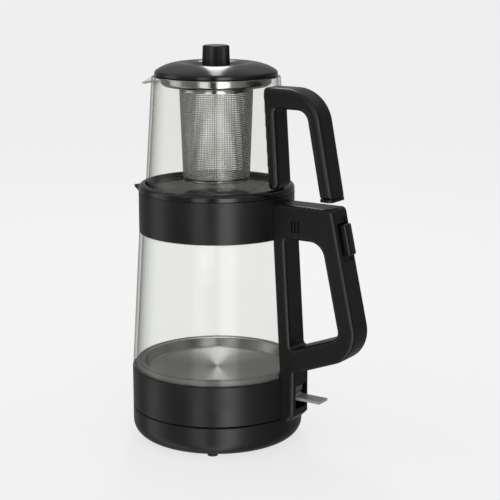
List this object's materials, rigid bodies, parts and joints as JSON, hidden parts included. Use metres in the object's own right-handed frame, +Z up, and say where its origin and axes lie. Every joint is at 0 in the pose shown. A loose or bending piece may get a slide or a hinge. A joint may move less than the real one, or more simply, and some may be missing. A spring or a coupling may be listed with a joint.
{
  "type": "automatic tea maker",
  "caption": "Glass kettle on a cordless power base, with a glass teapot, steel infuser and domed lid stacked on top; switch lever and press button in the handle.",
  "frame": {"origin": "on the table under the axis of the kettle and its power base", "axes": "+Z up along the kettle's axis, +X towards both handles, -X towards the beaks"},
  "size_m": [0.2487, 0.16, 0.3678],
  "materials": {
    "black_satin": "satin black moulded plastic",
    "black_gloss": "polished black plastic",
    "inner_plastic": "heat-proof moulding",
    "clear_lever": "clear grey plastic",
    "kettle_glass": "clear borosilicate glass",
    "pot_glass": "clear borosilicate glass",
    "plate_steel": "spun stainless steel",
    "infuser_steel": "bright stainless steel",
    "heater_aluminium": "cast aluminium",
    "screw_steel": "zinc plated steel",
    "contact_brass": "plated brass",
    "clear_silicone": "pale silicone",
    "black_rubber": "matt black rubber",
    "lamp_lens": "amber lamp body"
  },
  "bodies": {
    "power_base": {"base_shell": "black_satin", "base_bottom_cover": "black_satin", "base_screws": "screw_steel", "base_feet": "black_rubber", "base_socket": "inner_plastic", "socket_contacts": "contact_brass", "cord_inlet": "black_rubber"},
    "kettle_coupling": {"kettle_connector": "inner_plastic", "connector_pins": "contact_brass"},
    "kettle": {"kettle_base_ring": "black_satin", "kettle_bottom_cover": "black_satin", "kettle_base_screws": "screw_steel", "heating_plate": "plate_steel", "plate_seal": "clear_silicone", "heat_spreader": "heater_aluminium", "heating_element": "heater_aluminium", "thermostat_control": "inner_plastic", "bimetal_discs": "screw_steel", "glass_jug": "kettle_glass", "kettle_collar": "black_satin", "collar_seal": "clear_silicone", "collar_trim_ring": "black_gloss", "teapot_seat": "black_satin", "handle_left_shell": "black_satin", "handle_right_shell": "black_satin", "handle_screws": "screw_steel", "steam_tube": "clear_silicone", "boil_switch": "inner_plastic", "indicator_lamp": "lamp_lens", "lever_pin": "screw_steel", "button_switch": "inner_plastic", "button_spring": "screw_steel"},
    "lever": {"switch_lever": "clear_lever"},
    "button": {"handle_button": "black_gloss"},
    "teapot": {"teapot_glass": "pot_glass", "teapot_handle": "black_satin", "teapot_handle_cap": "black_satin", "handle_bond_pads": "clear_silicone"},
    "infuser": {"infuser_rim": "infuser_steel", "infuser_basket": "infuser_steel", "infuser_bottom": "infuser_steel"},
    "lid": {"lid_shell": "black_gloss", "lid_liner": "black_satin", "lid_seal": "clear_silicone", "lid_knob": "black_satin", "knob_screw": "screw_steel"}
  },
  "joints": [
    {"name": "kettle_lift", "type": "slide", "parent": "power_base", "child": "kettle_coupling", "axis": [0, 0, 1], "range_m": [0, 0.06]},
    {"name": "kettle_turn", "type": "hinge", "parent": "kettle_coupling", "child": "kettle", "pos_m": [0, 0, 0.04], "axis": [0, 0, 1], "continuous": true},
    {"name": "lever_switch", "type": "hinge", "parent": "kettle", "child": "lever", "pos_m": [0.0867, 0, 0.051], "axis": [0, 1, 0], "range_deg": [0, 14]},
    {"name": "button_press", "type": "slide", "parent": "kettle", "child": "button", "axis": [-0.9759, 0, -0.218], "range_m": [0, 0.0025], "stiffness_N_per_m": 600, "springref_m": -0.0015},
    {"name": "teapot_lift", "type": "slide", "parent": "kettle", "child": "teapot", "axis": [0, 0, 1], "range_m": [0, 0.06]},
    {"name": "infuser_lift", "type": "slide", "parent": "teapot", "child": "infuser", "axis": [0, 0, 1], "range_m": [0, 0.12]},
    {"name": "lid_lift", "type": "slide", "parent": "infuser", "child": "lid", "axis": [0, 0, 1], "range_m": [0, 0.05]}
  ]
}
